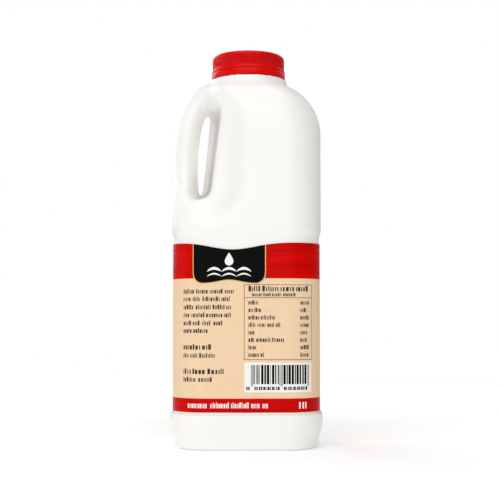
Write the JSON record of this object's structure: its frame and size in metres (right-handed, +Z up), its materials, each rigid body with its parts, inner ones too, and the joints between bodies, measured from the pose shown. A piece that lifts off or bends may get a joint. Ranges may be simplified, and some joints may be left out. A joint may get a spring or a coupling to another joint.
{
  "type": "plastic milk jug",
  "caption": "Blow-moulded square milk jug with a side handle and hand scoops, a ribbed screw cap with a tamper band, and a wrap-round paper label.",
  "frame": {"origin": "middle of the overall box in plan, on the surface that the jug stands on", "axes": "+Z up, -Y is the front of the label, the handle is on the -X side"},
  "size_m": [0.0848, 0.0794, 0.2219],
  "materials": {
    "white_plastic": "satin blow-moulded polyethylene, milk white, soft sheen",
    "red_plastic": "moulded polypropylene, satin red, ribbed skirt",
    "label_paper": null
  },
  "bodies": {
    "root": {"bottle": "white_plastic", "cap": "red_plastic", "label": "label_paper"}
  },
  "joints": []
}
